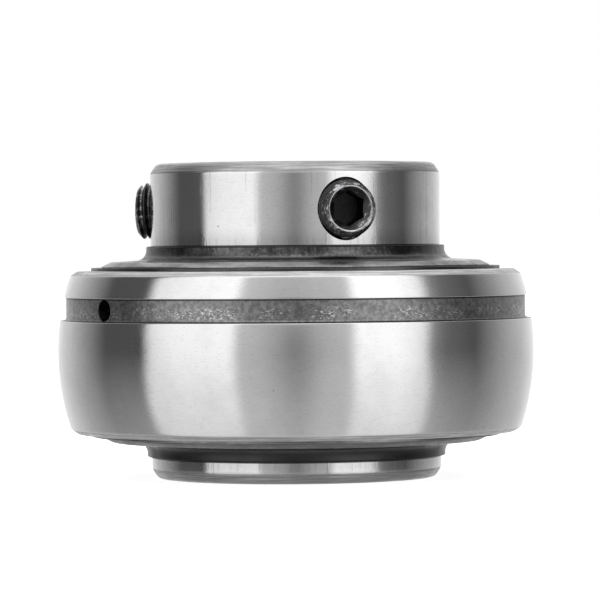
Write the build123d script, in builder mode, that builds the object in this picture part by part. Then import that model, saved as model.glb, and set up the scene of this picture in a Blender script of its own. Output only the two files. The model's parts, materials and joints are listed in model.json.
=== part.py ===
from build123d import *
from math import acos, asin, cos, degrees, radians, sin, sqrt
import os

# Set-screw insert bearing, in millimetres. A wide inner ring clamps on a shaft with two
# set screws, and a spherical outer ring swivels in its housing. The origin is the centre
# of the sphere, +Z runs along the bore towards the long end, where the set screws are,
# and the first set screw points along -Y.

# Rings, from the bore outward: with these walls the sphere is 47 across
bore_dia = 20.0
collar_wall = 4.3
shoulder_offset = 2.45
land_step = 1.0
seat_wall = 3.3
outer_width = 16.0
short_end_reach = 2.13

# Balls and raceways, where a raceway's radius is a share of the ball's diameter
ball_dia = 7.938
ball_count = 8
ball_play = 0.03
inner_conformity = 0.515
outer_conformity = 0.52

# Edges of the rings
end_chamfer_length = 1.0
end_chamfer_depth = 0.65
end_edge_round = 0.8
bore_chamfer = 0.6
outer_chamfer = 0.5

# Grease groove round the sphere, and the two holes in it
groove_height = 4.27
groove_width = 2.26
groove_depth = 0.21
groove_foot_round = 0.35
grease_hole_dia = 2.1
grease_hole_angles = (-164.0, 16.0)
drill_overrun = 0.15

# Cage of two pressed ribbons, riveted together between the balls
cage_sheet = 0.7
pocket_play = 0.15
cage_inner_gap = 0.7
cage_outer_gap = 0.7
rivet_dia = 1.0
rivet_head_dia = 1.8
rivet_head_height = 0.5
rivet_head_round = 0.3

# Seals: a steel shroud in a seat of the outer ring carries a rubber lip
seat_depth = 1.8
shroud_sheet = 0.4
shroud_bend = 0.3
shroud_proud = 0.3
shroud_inner_gap = 1.6
lip_thickness = 0.6
lip_gap = 0.15
lip_grip = 1.6
dust_lip_width = 0.5
dust_lip_gap = 0.3

# Flingers: pressed discs on the inner ring
flinger_sheet = 0.4
flinger_stand = 1.05
flinger_hub_height = 1.32
flinger_hub_bend = 1.0
flinger_disc_drop = 0.2
flinger_rim_gap = 1.05
flinger_rim_width = 0.95
flinger_rim_drop = 0.45
flinger_rim_bend = 0.6
flinger_end_round = 0.2

# Set screws, with their thread left plain
thread_dia = 5.6
thread_gap = 0.03
hole_mouth_dia = 6.1
screw_length = 5.5
screw_proud = 1.33
screw_from_end = 4.6
screw_flinger_gap = 0.48
screw_angles = {"set_screw_front": -90.0, "set_screw_side": 150.0}
screw_end_chamfer = 0.42
cup_dia = 3.0
cup_depth = 0.75
hex_across_flats = 3.0
hex_depth = 2.3
hex_drill_depth = 0.45
socket_mouth_dia = 4.3

# Pressed pieces keep this gap to their seats, so that no faces overlap
press_gap = 0.02

# Radii: the shoulders of both rings lie at one offset from the circle of the balls
bore_r = bore_dia / 2
collar_r = bore_r + collar_wall
pitch_r = collar_r + shoulder_offset
land_r = pitch_r + shoulder_offset
seat_r = land_r + land_step
outer_r = seat_r + seat_wall
ball_r = ball_dia / 2
inner_race_r = inner_conformity * ball_dia
outer_race_r = outer_conformity * ball_dia
inner_race_centre = pitch_r - ball_r - ball_play + inner_race_r
outer_race_centre = pitch_r + ball_r + ball_play - outer_race_r
cage_inner_r = collar_r + cage_inner_gap
cage_outer_r = land_r - cage_outer_gap
cage_middle_r = (cage_inner_r + cage_outer_r) / 2

# Heights: the flinger's hub, then the set screws and the long end, stack on each other
half_width = outer_width / 2
seat_z = half_width - seat_depth
flinger_z = half_width + flinger_stand
hub_z = flinger_z + flinger_hub_height
screw_z = hub_z + screw_flinger_gap + hole_mouth_dia / 2
long_side = screw_z + screw_from_end
short_side = hub_z + short_end_reach

ball_step = 360 / ball_count


def radial_plane(angle, radius, height):
    """A plane that faces outward at this radius, with its own x axis along +Z."""
    outward = Vector(cos(radians(angle)), sin(radians(angle)), 0)
    return Plane(origin=outward * radius + Vector(0, 0, height), x_dir=(0, 0, 1), z_dir=outward)


os.makedirs("parts", exist_ok=True)

# Outer ring: half of its section is drawn, mirrored and turned round the axis
outer_race_angle = degrees(acos((land_r - outer_race_centre) / outer_race_r))
outer_race_edge = outer_race_r * sin(radians(outer_race_angle))
face_r = sqrt(outer_r**2 - half_width**2)
face_angle = degrees(asin(half_width / outer_r))
groove_top = groove_height + groove_width / 2
groove_bottom = groove_height - groove_width / 2
groove_floor_r = sqrt(outer_r**2 - groove_top**2) - groove_depth

with BuildPart() as outer_ring:
    with BuildSketch(Plane.XZ) as outer_section:
        with BuildLine():
            CenterArc((outer_race_centre, 0), outer_race_r, 0, outer_race_angle)
            Polyline(
                (land_r, outer_race_edge),
                (land_r, seat_z),
                (seat_r, seat_z),
                (seat_r, half_width),
                (face_r, half_width),
            )
            CenterArc((0, 0), outer_r, 0, face_angle)
            Line((outer_race_centre + outer_race_r, 0), (outer_r, 0))
        make_face()
        mirror(about=Plane.XZ)
        face_corners = outer_section.vertices().filter_by(lambda v: abs(v.X - face_r) < 0.001)
        chamfer(face_corners, outer_chamfer)
        # The groove has a straight floor, square at its upper lip and rounded at its foot
        with BuildLine():
            Polyline(
                (groove_floor_r, groove_top),
                (groove_floor_r, groove_bottom),
                (outer_r, groove_bottom),
                (outer_r, groove_top),
                close=True,
            )
        make_face(mode=Mode.SUBTRACT)
        floor_ends = outer_section.vertices().filter_by(lambda v: abs(v.X - groove_floor_r) < 0.001)
        fillet(floor_ends.sort_by(Axis.Y)[0], groove_foot_round)
    revolve(axis=Axis.Z)
    with Locations(*[radial_plane(angle, outer_r, groove_height) for angle in grease_hole_angles]):
        Hole(radius=grease_hole_dia / 2, depth=outer_r - land_r + drill_overrun)
outer_ring.part.label = "outer_ring"
export_step(outer_ring.part, "parts/outer_ring.step")

# Inner ring: a sleeve with a raceway round it, and two holes for the set screws, wider at
# their mouths
inner_race_angle = degrees(acos((inner_race_centre - collar_r) / inner_race_r))
inner_race_edge = inner_race_r * sin(radians(inner_race_angle))
end_r = collar_r - end_chamfer_depth

with BuildPart() as inner_ring:
    with BuildSketch(Plane.XZ) as inner_section:
        with BuildLine():
            CenterArc((inner_race_centre, 0), inner_race_r, 180 - inner_race_angle, 2 * inner_race_angle)
            Polyline(
                (collar_r, inner_race_edge),
                (collar_r, long_side - end_chamfer_length),
                (end_r, long_side),
                (bore_r + bore_chamfer, long_side),
                (bore_r, long_side - bore_chamfer),
                (bore_r, bore_chamfer - short_side),
                (bore_r + bore_chamfer, -short_side),
                (end_r, -short_side),
                (collar_r, end_chamfer_length - short_side),
                (collar_r, -inner_race_edge),
            )
        make_face()
        end_corners = inner_section.vertices().filter_by(
            lambda v: v.X > end_r - 0.001 and abs(v.Y) > inner_race_edge + 0.001
        )
        fillet(end_corners, end_edge_round)
    revolve(axis=Axis.Z)
    with Locations(*[radial_plane(angle, collar_r, screw_z) for angle in screw_angles.values()]):
        CounterSinkHole(
            radius=thread_dia / 2,
            counter_sink_radius=hole_mouth_dia / 2,
            depth=collar_r - bore_r + end_chamfer_depth,
            counter_sink_angle=90,
        )
inner_ring.part.label = "inner_ring"
export_step(inner_ring.part, "parts/inner_ring.step")

# Balls
for number in range(ball_count):
    angle = radians(number * ball_step)
    with BuildPart() as ball:
        with Locations((pitch_r * cos(angle), pitch_r * sin(angle), 0)):
            Sphere(ball_r)
    ball.part.label = f"ball_{number + 1}"
    export_step(ball.part, f"parts/ball_{number + 1}.step")

# Cage: a flat ribbon with a dome over each ball, cut to the band between the rings
pocket_r = ball_r + pocket_play
dome_r = pocket_r + cage_sheet

with BuildPart() as cage_upper:
    with BuildSketch():
        Circle(cage_outer_r)
    extrude(amount=cage_sheet)
    with PolarLocations(pitch_r, ball_count):
        Sphere(dome_r, arc_size1=0, align=(Align.CENTER, Align.CENTER, Align.MIN))
    with BuildSketch():
        Circle(cage_outer_r)
        Circle(cage_inner_r, mode=Mode.SUBTRACT)
    extrude(amount=dome_r, mode=Mode.INTERSECT)
    with PolarLocations(pitch_r, ball_count):
        Sphere(pocket_r, mode=Mode.SUBTRACT)
    with PolarLocations(cage_middle_r, ball_count, start_angle=ball_step / 2):
        Cylinder(rivet_dia / 2 + press_gap, 4 * cage_sheet, mode=Mode.SUBTRACT)
cage_upper.part.label = "cage_upper"
export_step(cage_upper.part, "parts/cage_upper.step")

with BuildPart() as cage_lower:
    mirror(cage_upper.part, about=Plane.XY)
cage_lower.part.label = "cage_lower"
export_step(cage_lower.part, "parts/cage_lower.step")

# Rivets, as a group of separate solids
with BuildPart() as rivet:
    Cylinder(rivet_dia / 2, 2 * cage_sheet)
    head_z = cage_sheet + rivet_head_height / 2
    with Locations((0, 0, head_z), (0, 0, -head_z)):
        Cylinder(rivet_head_dia / 2, rivet_head_height)
    head_edges = rivet.edges().filter_by(GeomType.CIRCLE).sort_by(Axis.Z)
    fillet((head_edges[0], head_edges[-1]), rivet_head_round)

with BuildPart() as cage_rivets:
    with PolarLocations(cage_middle_r, ball_count, start_angle=ball_step / 2):
        add(rivet.part)
cage_rivets.part.label = "cage_rivets"
export_step(cage_rivets.part, "parts/cage_rivets.step")

# Seal shroud: a rim on the seat's wall, then a floor that reaches in over the balls
shroud_outer_r = seat_r - press_gap
shroud_inner_r = collar_r + shroud_inner_gap
shroud_z = seat_z + shroud_sheet

with BuildPart() as seal_shroud_upper:
    with BuildSketch(Plane.XZ):
        with BuildLine():
            FilletPolyline(
                (shroud_outer_r, half_width + shroud_proud),
                (shroud_outer_r, seat_z),
                (shroud_inner_r, seat_z),
                radius=shroud_bend + shroud_sheet,
            )
            offset(amount=shroud_sheet, side=Side.RIGHT)
        make_face()
    revolve(axis=Axis.Z)
seal_shroud_upper.part.label = "seal_shroud_upper"
export_step(seal_shroud_upper.part, "parts/seal_shroud_upper.step")

with BuildPart() as seal_shroud_lower:
    mirror(seal_shroud_upper.part, about=Plane.XY)
seal_shroud_lower.part.label = "seal_shroud_lower"
export_step(seal_shroud_lower.part, "parts/seal_shroud_lower.step")

# Seal lip: rubber on the shroud, with a lip at the inner ring and a dust lip above
lip_inner_r = collar_r + lip_gap
lip_edge_r = shroud_inner_r - press_gap
lip_z = shroud_z + lip_thickness
dust_lip_z = flinger_z - flinger_disc_drop - flinger_sheet - dust_lip_gap

with BuildPart() as seal_lip_upper:
    with BuildSketch(Plane.XZ):
        with BuildLine():
            Polyline(
                (lip_inner_r, seat_z),
                (lip_edge_r, seat_z),
                (lip_edge_r, shroud_z),
                (shroud_inner_r + lip_grip, shroud_z),
                (shroud_inner_r + lip_grip, lip_z),
                (shroud_inner_r + dust_lip_width, lip_z),
                (shroud_inner_r + 2 * dust_lip_width, dust_lip_z),
                (shroud_inner_r + dust_lip_width, dust_lip_z),
                (shroud_inner_r - dust_lip_width, lip_z),
                (lip_inner_r + lip_gap, lip_z),
                (lip_inner_r, shroud_z),
                close=True,
            )
        make_face()
    revolve(axis=Axis.Z)
seal_lip_upper.part.label = "seal_lip_upper"
export_step(seal_lip_upper.part, "parts/seal_lip_upper.step")

with BuildPart() as seal_lip_lower:
    mirror(seal_lip_upper.part, about=Plane.XY)
seal_lip_lower.part.label = "seal_lip_lower"
export_step(seal_lip_lower.part, "parts/seal_lip_lower.step")

# Flinger: a hub on the inner ring, a disc and a rim that slopes down over the seal
hub_r = collar_r + press_gap + flinger_sheet
rim_r = seat_r - flinger_rim_gap

with BuildPart() as flinger_upper:
    with BuildSketch(Plane.XZ) as flinger_section:
        with BuildLine():
            FilletPolyline(
                (hub_r, hub_z),
                (hub_r, flinger_z),
                (rim_r - flinger_rim_width, flinger_z - flinger_disc_drop),
                (rim_r, flinger_z - flinger_disc_drop - flinger_rim_drop),
                radius=(flinger_hub_bend, flinger_rim_bend),
            )
            offset(amount=flinger_sheet, side=Side.RIGHT)
        make_face()
        hub_end = flinger_section.vertices().group_by(Axis.Y)[-1].sort_by(Axis.X)[-1]
        fillet(hub_end, flinger_end_round)
    revolve(axis=Axis.Z)
flinger_upper.part.label = "flinger_upper"
export_step(flinger_upper.part, "parts/flinger_upper.step")

with BuildPart() as flinger_lower:
    mirror(flinger_upper.part, about=Plane.XY)
flinger_lower.part.label = "flinger_lower"
export_step(flinger_lower.part, "parts/flinger_lower.step")

# Set screws: a cup point at the inner end and a hexagon socket at the outer end
screw_r = thread_dia / 2 - thread_gap
screw_tip_r = collar_r + screw_proud - screw_length
hex_corner_r = hex_across_flats / sqrt(3)
mouth_r = socket_mouth_dia / 2
from_base = (Align.CENTER, Align.CENTER, Align.MIN)
from_top = (Align.CENTER, Align.CENTER, Align.MAX)

for name, angle in screw_angles.items():
    tip = radial_plane(angle, screw_tip_r, screw_z)
    head = tip.offset(screw_length)
    with BuildPart() as set_screw:
        with BuildSketch(tip):
            Circle(screw_r)
        extrude(amount=screw_length)
        ends = set_screw.edges().filter_by(GeomType.CIRCLE).sort_by(Axis(tip.origin, tip.z_dir))
        chamfer(ends[0], screw_r - cup_dia / 2)
        chamfer(ends[-1], screw_end_chamfer)
        with Locations(tip):
            Cone(cup_dia / 2, 0, cup_depth, align=from_base, mode=Mode.SUBTRACT)
        with BuildSketch(head):
            RegularPolygon(hex_corner_r, 6)
        extrude(amount=-hex_depth, mode=Mode.SUBTRACT)
        with Locations(head):
            Cone(0, mouth_r, mouth_r, align=from_top, mode=Mode.SUBTRACT)
        with Locations(head.offset(-hex_depth)):
            Cone(0, hex_across_flats / 2, hex_drill_depth, align=from_top, mode=Mode.SUBTRACT)
    set_screw.part.label = name
    export_step(set_screw.part, f"parts/{name}.step")
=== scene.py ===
"""Looks of a set-screw insert bearing, laid out as an add-on and run as a script.

Everything is in metres. The origin is the centre of the outer ring's sphere, +Z runs along
the bore towards the long end, and the first set screw points along -Y.
"""

import json
import math

import bpy
from mathutils import Matrix, Vector


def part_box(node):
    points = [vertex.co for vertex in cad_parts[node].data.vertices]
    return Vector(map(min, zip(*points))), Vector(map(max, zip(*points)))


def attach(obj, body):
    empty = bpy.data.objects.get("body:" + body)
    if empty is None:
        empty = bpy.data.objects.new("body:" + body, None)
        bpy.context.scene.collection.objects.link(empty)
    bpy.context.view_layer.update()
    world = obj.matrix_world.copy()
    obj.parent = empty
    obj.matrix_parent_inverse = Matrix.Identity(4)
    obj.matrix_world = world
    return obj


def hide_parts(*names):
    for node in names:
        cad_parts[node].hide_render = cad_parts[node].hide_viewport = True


bl_info = {
    "name": "Insert Bearing",
    "version": (1, 0, 0),
    "blender": (4, 5, 0),
    "location": "3D Viewport > Sidebar > Bearing",
    "description": "Builds the rings, flingers, seals and set screws of an insert bearing",
    "category": "Mesh",
}

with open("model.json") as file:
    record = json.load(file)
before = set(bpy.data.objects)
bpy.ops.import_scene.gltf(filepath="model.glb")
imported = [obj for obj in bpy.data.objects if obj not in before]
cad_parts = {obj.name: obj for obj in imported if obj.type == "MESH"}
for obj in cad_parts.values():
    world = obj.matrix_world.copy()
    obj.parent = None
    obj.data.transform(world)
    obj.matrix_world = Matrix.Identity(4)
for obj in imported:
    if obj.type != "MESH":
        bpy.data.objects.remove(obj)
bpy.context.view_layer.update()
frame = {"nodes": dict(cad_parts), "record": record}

MM = 0.001
# The camera sensor's width, in millimetres
SENSOR_WIDTH = 36.0
# A ramp's colours stop at 1, so the studio's levels are divided by this there
RAMP_HEADROOM = 2.0

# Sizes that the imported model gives
outer_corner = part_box("outer_ring")[1]
inner_low, inner_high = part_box("inner_ring")
shroud_low, shroud_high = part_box("seal_shroud_upper")
flinger_low, flinger_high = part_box("flinger_upper")
screw_low, screw_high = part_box("set_screw_front")
mounts = {mount["name"]: mount for mount in frame["record"]["mounts"]}


def length(name, description, default):
    """A length in metres, shown in millimetres."""
    return bpy.props.FloatProperty(
        name=name, description=description, default=default, min=0, unit="LENGTH", precision=5
    )


def colour(name, description, default):
    """A plain colour."""
    return bpy.props.FloatVectorProperty(
        name=name, description=description, default=default, min=0, max=1, size=3, subtype="COLOR"
    )


def level(name, description, default):
    """A light level, where 1 is white."""
    return bpy.props.FloatProperty(name=name, description=description, default=default, min=0)


class BearingRings(bpy.types.PropertyGroup):
    """Sizes of the outer and inner ring"""

    segments: bpy.props.IntProperty(
        name="Segments", description="Steps round each turned piece", default=384, min=24
    )
    sphere_radius: length("Sphere radius", "Outer ring's spherical face", outer_corner.x)
    half_width: length("Half width", "Half of the outer ring's width", outer_corner.z)
    face_chamfer: length("Face chamfer", "Between the sphere and the ring's faces", 0.5 * MM)
    land_radius: length("Land radius", "Outer ring's bore beside its raceway", 19.2 * MM)
    seat_radius: length("Seat radius", "Recess that the seal sits in", shroud_high.x + 0.02 * MM)
    seat_height: length("Seat height", "Where the seal's recess ends", shroud_low.z)
    outer_race_radius: length("Outer race radius", "Raceway's section", 4.128 * MM)
    outer_race_centre: length("Outer race centre", "From the axis", 16.621 * MM)
    groove_height: length("Groove height", "Middle of the grease groove", 4.27 * MM)
    groove_width: length("Groove width", "Between the groove's lips", 2.26 * MM)
    groove_depth: length("Groove depth", "Below the groove's upper lip", 0.21 * MM)
    groove_foot_round: length("Groove foot round", "Between its floor and its lower ledge", 0.35 * MM)
    grease_hole_radius: length("Grease hole radius", "Two holes in the groove", 1.05 * MM)
    grease_hole_angle: bpy.props.FloatProperty(
        name="Grease hole angle", description="Round the axis from +X, the second hole is opposite",
        default=math.radians(16), subtype="ANGLE",
    )
    collar_radius: length("Collar radius", "Inner ring's outside", inner_high.x)
    bore_radius: length("Bore radius", "Inner ring's bore", mounts["bore"]["dims"]["r_mm"] * MM)
    long_side: length("Long side", "From the sphere's centre to the long end", inner_high.z)
    short_side: length("Short side", "From the sphere's centre to the short end", -inner_low.z)
    inner_race_radius: length("Inner race radius", "Raceway's section", 4.088 * MM)
    inner_race_centre: length("Inner race centre", "From the axis", 16.839 * MM)
    end_chamfer_length: length("End chamfer length", "Along the collar", 1.0 * MM)
    end_chamfer_depth: length("End chamfer depth", "Across the end face", 0.65 * MM)
    end_edge_round: length("End edge round", "At both edges of the end chamfer", 0.8 * MM)
    bore_chamfer: length("Bore chamfer", "At both ends of the bore", 0.6 * MM)
    edge_break: length("Edge break", "Width of the broken sharp edges", 0.08 * MM)


class BearingSheets(bpy.types.PropertyGroup):
    """Sizes of the flingers and the seal shrouds"""

    sheet: length("Sheet", "Thickness of the pressed sheet", 0.4 * MM)
    hub_radius: length("Hub radius", "Outside of the flinger's hub", 14.72 * MM)
    hub_height: length("Hub height", "Top of the flinger's hub", flinger_high.z)
    hub_bend: length("Hub bend", "Outer radius of the bend into the disc", 1.0 * MM)
    disc_height: length("Disc height", "Flinger's disc at its hub", 9.05 * MM)
    disc_drop: length("Disc drop", "How far the disc falls towards its rim", 0.2 * MM)
    rim_radius: length("Rim radius", "Edge of the flinger", flinger_high.x)
    rim_width: length("Rim width", "Sloping rim", 0.95 * MM)
    rim_drop: length("Rim drop", "How far the rim falls", 0.45 * MM)
    rim_bend: length("Rim bend", "Outer radius of the bend into the rim", 0.6 * MM)
    shroud_radius: length("Shroud radius", "Outside of the shroud's rim", shroud_high.x)
    shroud_inner_radius: length("Shroud inner radius", "Where its floor ends", 15.9 * MM)
    shroud_height: length("Shroud height", "Top of its rim", shroud_high.z)
    shroud_bend: length("Shroud bend", "Outer radius of the bend into the floor", 0.7 * MM)
    edge_break: length("Edge break", "Width of the broken sheet edges", 0.08 * MM)


class BearingScrews(bpy.types.PropertyGroup):
    """Sizes of the set screws and their holes"""

    radius: length("Radius", "Over the thread's crests",
                   screw_high.z - mounts["front_hex_socket"]["pos_m"][2])
    pitch: length("Pitch", "Of the thread", 0.75 * MM)
    thread_depth: length("Thread depth", "From crest to root", 0.43 * MM)
    tip_reach: length("Tip reach", "From the bore's axis to the tip", -screw_high.y)
    head_reach: length("Head reach", "From the bore's axis to the head's face", -screw_low.y)
    height: length("Height", "Of the screws' axes above the sphere's centre",
                   mounts["front_hex_socket"]["pos_m"][2])
    first_crest: length("First crest", "Crest at the screw's top, below the head's face", 0.76 * MM)
    head_chamfer: length("Head chamfer", "At the socket end", 0.42 * MM)
    cup_radius: length("Cup radius", "Of the cup point", 1.5 * MM)
    cup_depth: length("Cup depth", "Of the cup point", 0.75 * MM)
    across_flats: length("Across flats", "Of the hexagon socket", 3.0 * MM)
    socket_depth: length("Socket depth", "Of the hexagon", 2.3 * MM)
    drill_depth: length("Drill depth", "Cone below the hexagon", 0.45 * MM)
    mouth_radius: length("Mouth radius", "Of the cone at the socket's mouth", 2.15 * MM)
    edge_break: length("Edge break", "Width of the worn edges", 0.07 * MM)
    hole_radius: length("Hole radius", "Of the holes in the collar", 2.8 * MM)
    hole_mouth: length("Hole mouth", "Radius of the cone at the holes' mouths", 3.05 * MM)
    side_angle: bpy.props.FloatProperty(
        name="Side angle", description="From the front screw to the side screw, round the axis",
        default=math.radians(240), subtype="ANGLE",
    )


class BearingFinish(bpy.types.PropertyGroup):
    """Colours of the bare metals"""

    ground: colour("Ground steel", "Sphere, faces and collar", (0.76, 0.76, 0.765))
    turned: colour("Turned steel", "Chamfers left from turning", (0.56, 0.56, 0.56))
    scale: colour("Scale", "Floor of the grease groove", (0.25, 0.25, 0.255))
    pressed: colour("Pressed steel", "Flingers", (0.38, 0.38, 0.385))
    # Painted shade: this dark colour stands for the shade between the flinger and the ring, and the short
    # side paints it three times lighter.
    shroud: colour("Shroud", "Dark sheet of the seals", (0.10, 0.10, 0.105))
    oxide: colour("Black oxide", "Set screws", (0.055, 0.055, 0.057))
    worn: colour("Worn edge", "Where the oxide has rubbed off", (0.62, 0.61, 0.60))
    rubber: colour("Rubber", "Seal lips", (0.03, 0.03, 0.03))
    ball: colour("Ball steel", "Lapped balls", (0.75, 0.75, 0.77))
    cage: colour("Cage steel", "Pressed cage and its rivets", (0.50, 0.50, 0.50))


class BearingStudio(bpy.types.PropertyGroup):
    """Camera and light"""

    view_angle: bpy.props.FloatProperty(
        name="View angle", description="Turn of the camera round the bore's axis",
        default=math.radians(-20), subtype="ANGLE",
    )
    distance: length("Distance", "From the camera to the bore's axis", 427 * MM)
    eye_height: length("Eye height", "Camera above the sphere's centre", 11.15 * MM)
    aim_height: length("Aim height", "Point that the camera looks at", 4.98 * MM)
    aim_side: length("Aim side", "That point, right of the bore's axis", 0.44 * MM)
    roll: bpy.props.FloatProperty(
        name="Roll", description="Turn of the camera about its own view",
        default=math.radians(0.435), subtype="ANGLE",
    )
    lens: bpy.props.FloatProperty(
        name="Lens", description="Focal length on a 36 mm sensor", default=259.2,
        subtype="DISTANCE_CAMERA",
    )
    left_box: level("Left softbox", "Left of the camera", 1.2)
    right_box: level("Right softbox", "Right of the camera", 1.28)
    dark: level("Dark panels", "Past the softboxes", 0.085)
    ceiling: level("Ceiling", "Softbox overhead", 1.05)
    floor_white: colour("Floor", "Pale floor", (0.8, 0.8, 0.8))


def deselect():
    """Clears the selection before a new piece."""
    bpy.ops.object.select_all(action="DESELECT")


def name_active(name):
    """Names the active object and its mesh, and puts its place into its mesh."""
    piece = bpy.context.object
    piece.name = name
    piece.data.name = name
    bpy.ops.object.transform_apply(location=True, rotation=True, scale=True)
    return piece


def on_circle(radius, degrees, centre=(0, 0)):
    """The (radius, height) point at an angle on a circle."""
    angle = math.radians(degrees)
    return (centre[0] + radius * math.cos(angle), centre[1] + radius * math.sin(angle))


def arc(centre, radius, start, end, steps):
    """Points (radius, height) along an arc, between two angles in degrees."""
    return [
        on_circle(radius, start + (end - start) * step / steps, centre) for step in range(steps + 1)
    ]


def bent(corners, bends, steps=6):
    """Straight runs through corners, joined by arcs with one bend radius for each inner corner."""
    points = [corners[0]]
    for before, corner, after, bend in zip(corners, corners[1:], corners[2:], bends):
        corner = Vector(corner)
        to_before = (Vector(before) - corner).normalized()
        to_after = (Vector(after) - corner).normalized()
        half = to_before.angle(to_after) / 2
        centre = corner + (to_before + to_after).normalized() * bend / math.sin(half)
        first = corner + to_before * bend / math.tan(half) - centre
        last = corner + to_after * bend / math.tan(half) - centre
        turn = math.atan2(first.x * last.y - first.y * last.x, first.dot(last))
        for step in range(steps + 1):
            arm = Matrix.Rotation(turn * step / steps, 2) @ first
            points.append((centre.x + arm.x, centre.y + arm.y))
    return points + [corners[-1]]


def face_outward():
    """Points every face of the mesh that is being edited outwards, and leaves edit mode."""
    bpy.ops.mesh.select_all(action="SELECT")
    bpy.ops.mesh.normals_make_consistent(inside=False)
    bpy.ops.object.mode_set(mode="OBJECT")


def turn(name, section, segments, closed=True):
    """Extrudes a circle through the (radius, height) points of a section round the axis."""
    deselect()
    radius, height = section[0]
    bpy.ops.mesh.primitive_circle_add(vertices=segments, radius=radius, location=(0, 0, height))
    piece = name_active(name)
    bpy.ops.object.mode_set(mode="EDIT")
    runs = list(zip(section, section[1:]))
    if closed:
        runs.append((section[-1], section[0]))
    for (from_radius, from_height), (to_radius, to_height) in runs:
        widen = to_radius / from_radius
        bpy.ops.mesh.extrude_edges_move()
        bpy.ops.transform.resize(value=(widen, widen, 1), center_override=(0, 0, 0))
        bpy.ops.transform.translate(value=(0, 0, to_height - from_height))
    bpy.ops.mesh.select_all(action="SELECT")
    bpy.ops.mesh.remove_doubles(threshold=0.001 * MM)
    face_outward()
    return piece


def activate(piece):
    """Makes one piece the only selected one."""
    deselect()
    piece.select_set(True)
    bpy.context.view_layer.objects.active = piece


def select_rings(piece, rings):
    """Goes into edit mode with the edge rings at these (radius, height) points selected."""
    activate(piece)
    bpy.ops.object.mode_set(mode="EDIT")
    bpy.ops.mesh.select_mode(type="VERT")
    bpy.ops.mesh.select_all(action="DESELECT")
    bpy.ops.object.mode_set(mode="OBJECT")
    near = 0.004 * MM
    for vertex in piece.data.vertices:
        radius = vertex.co.xy.length
        vertex.select = any(abs(radius - r) < near and abs(vertex.co.z - z) < near for r, z in rings)
    bpy.ops.object.mode_set(mode="EDIT")


def break_rings(piece, rings, width, slot=-1):
    """Bevels the edge rings at these (radius, height) points."""
    select_rings(piece, rings)
    bpy.ops.mesh.bevel(offset=width, segments=3, material=slot, clamp_overlap=True)
    bpy.ops.object.mode_set(mode="OBJECT")


def break_flat(piece, radius, height, width):
    """Chamfers the edge ring at a radius and height."""
    select_rings(piece, [(radius, height)])
    bpy.ops.mesh.bevel(offset=width, segments=1)
    bpy.ops.object.mode_set(mode="OBJECT")


def apply_modifier(piece, kind, **settings):
    """Adds a modifier with these settings and applies it."""
    activate(piece)
    modifier = piece.modifiers.new(kind.title(), kind)
    for key, value in settings.items():
        setattr(modifier, key, value)
    bpy.ops.object.modifier_apply(modifier=modifier.name)


def combine(piece, tool, operation):
    """Joins, cuts or trims a piece with a tool shape, which is then removed."""
    apply_modifier(piece, "BOOLEAN", operation=operation, object=tool, solver="EXACT")
    bpy.data.objects.remove(tool)


def press(name, path, sheet, segments):
    """Turns an open path round the axis and gives it the sheet's thickness."""
    piece = turn(name, path, segments, closed=False)
    apply_modifier(piece, "SOLIDIFY", thickness=sheet, offset=-1, use_even_offset=True)
    return piece


def rod(name, radius, near, far, sides=96):
    """A plain rod along +Z between two heights."""
    deselect()
    bpy.ops.mesh.primitive_cylinder_add(
        vertices=sides, radius=radius, depth=far - near, location=(0, 0, (near + far) / 2)
    )
    return name_active(name)


def cone(name, base_radius, base, tip, sides=96):
    """A cone along Z from its base height to its tip height."""
    deselect()
    bpy.ops.mesh.primitive_cone_add(
        vertices=sides, radius1=base_radius, radius2=0, depth=abs(tip - base),
        location=(0, 0, (base + tip) / 2), rotation=(0 if tip > base else math.pi, 0, 0),
    )
    return name_active(name)


def point_outward(piece, height, angle):
    """Turns a piece modelled along +Z to point away from the bore's axis, at a height."""
    activate(piece)
    piece.rotation_euler = (math.pi / 2, 0, angle)
    piece.location = (0, 0, height)
    bpy.ops.object.transform_apply(location=True, rotation=True, scale=True)


def copy_of(piece, name, scale=(1, 1, 1), angle=0):
    """A copy with its own mesh, mirrored or turned round the axis."""
    activate(piece)
    bpy.ops.object.duplicate()
    copy = bpy.context.object
    copy.scale = scale
    copy.rotation_euler = (0, 0, angle)
    name_active(name)
    bpy.ops.object.mode_set(mode="EDIT")
    face_outward()
    return copy


def finish_piece(piece, body, nodes):
    """Smooths a piece, ties it to its body and hides the solids it stands for."""
    activate(piece)
    bpy.ops.object.shade_smooth_by_angle(angle=math.radians(30))
    apply_modifier(piece, "WEIGHTED_NORMAL", keep_sharp=True, weight=100)
    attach(piece, body)
    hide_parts(*nodes)


def give(piece, *materials):
    """Fills a piece's material slots."""
    piece.data.materials.clear()
    for material in materials:
        piece.data.materials.append(material)


def assign(piece, slot, test):
    """Gives a material slot to the faces whose middle passes a test."""
    for polygon in piece.data.polygons:
        if test(polygon.center):
            polygon.material_index = slot


def feed(tree, socket, value):
    """Links another node's output to a socket, or sets the socket's value."""
    if isinstance(value, bpy.types.NodeSocket):
        tree.links.new(value, socket)
    else:
        socket.default_value = value


def add_node(tree, kind, inputs=None, **settings):
    """Adds a node with these settings and inputs."""
    made = tree.nodes.new("ShaderNode" + kind)
    for key, value in settings.items():
        setattr(made, key, value)
    for key, value in (inputs or {}).items():
        feed(tree, made.inputs[key], value)
    return made


def calc(tree, operation, first, second=0.0):
    """A Math node's result."""
    return add_node(tree, "Math", {0: first, 1: second}, operation=operation).outputs[0]


def times(tree, first, second):
    """A product."""
    return calc(tree, "MULTIPLY", first, second)


def plus(tree, first, second):
    """A sum."""
    return calc(tree, "ADD", first, second)


def minus(tree, first, second):
    """A difference."""
    return calc(tree, "SUBTRACT", first, second)


def blend(tree, factor, first, second):
    """A mix of two colours."""
    return add_node(tree, "Mix", {"Factor": factor, 6: first, 7: second}, data_type="RGBA").outputs[2]


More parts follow.
